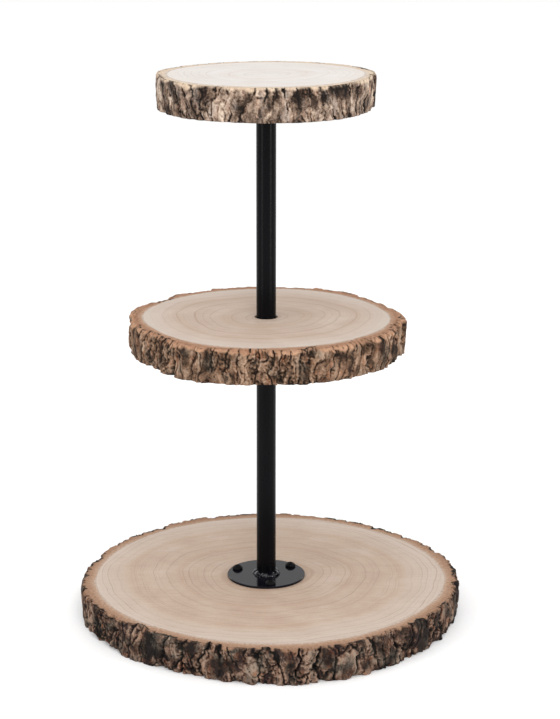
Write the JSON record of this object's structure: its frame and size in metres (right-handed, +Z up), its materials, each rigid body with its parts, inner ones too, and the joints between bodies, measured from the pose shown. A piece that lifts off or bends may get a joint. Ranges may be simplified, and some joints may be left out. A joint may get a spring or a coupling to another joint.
{
  "type": "tiered cake stand",
  "caption": "Serving stand of log slices with the bark left on, stacked on a central black steel post with a round screwed-down flange.",
  "frame": {"origin": "on the post's axis, at the underside of the bottom slice", "axes": "+Z up along the post; +Y away from the side that one screw of each flange faces; +X to the right seen from that side"},
  "size_m": [0.3172, 0.3225, 0.45],
  "materials": {
    "wood": "sanded across the grain and left bare",
    "bark": "rough, natural",
    "flange_enamel": "gloss black enamel",
    "painted_weld": "gloss black enamel over a weld bead",
    "tube_paint": "satin black",
    "black_screws": "black",
    "bright_steel": "turned and zinc plated"
  },
  "bodies": {
    "base": {"bottom_slice_wood": "wood", "bottom_slice_bark": "bark", "base_flange": "flange_enamel", "base_flange_screws": "black_screws", "base_flange_weld": "painted_weld", "lower_post_tube": "tube_paint", "lower_post_plug": "bright_steel", "joint_stud": "bright_steel", "middle_flange": "flange_enamel", "middle_flange_weld": "painted_weld", "middle_flange_screws": "black_screws", "middle_slice_wood": "wood", "middle_slice_bark": "bark"},
    "joint_washer": {"lock_washer": "bright_steel"},
    "upper_post": {"upper_post_tube": "tube_paint", "upper_post_plug": "bright_steel", "top_flange": "flange_enamel", "top_flange_weld": "painted_weld", "top_flange_screws": "black_screws", "top_slice_wood": "wood", "top_slice_bark": "bark"}
  },
  "joints": [
    {"name": "upper_post_lift", "type": "slide", "parent": "base", "child": "joint_washer", "axis": [0, 0, 1], "range_m": [0, 0.012]},
    {"name": "upper_post_turn", "type": "hinge", "parent": "joint_washer", "child": "upper_post", "pos_m": [0, 0, 0.2275], "axis": [0, 0, 1], "range_deg": [0, 3456]}
  ],
  "couplings": [
    {"joint": "upper_post_lift", "follows": "upper_post_turn", "m_per_rad": 0.00019894}
  ]
}
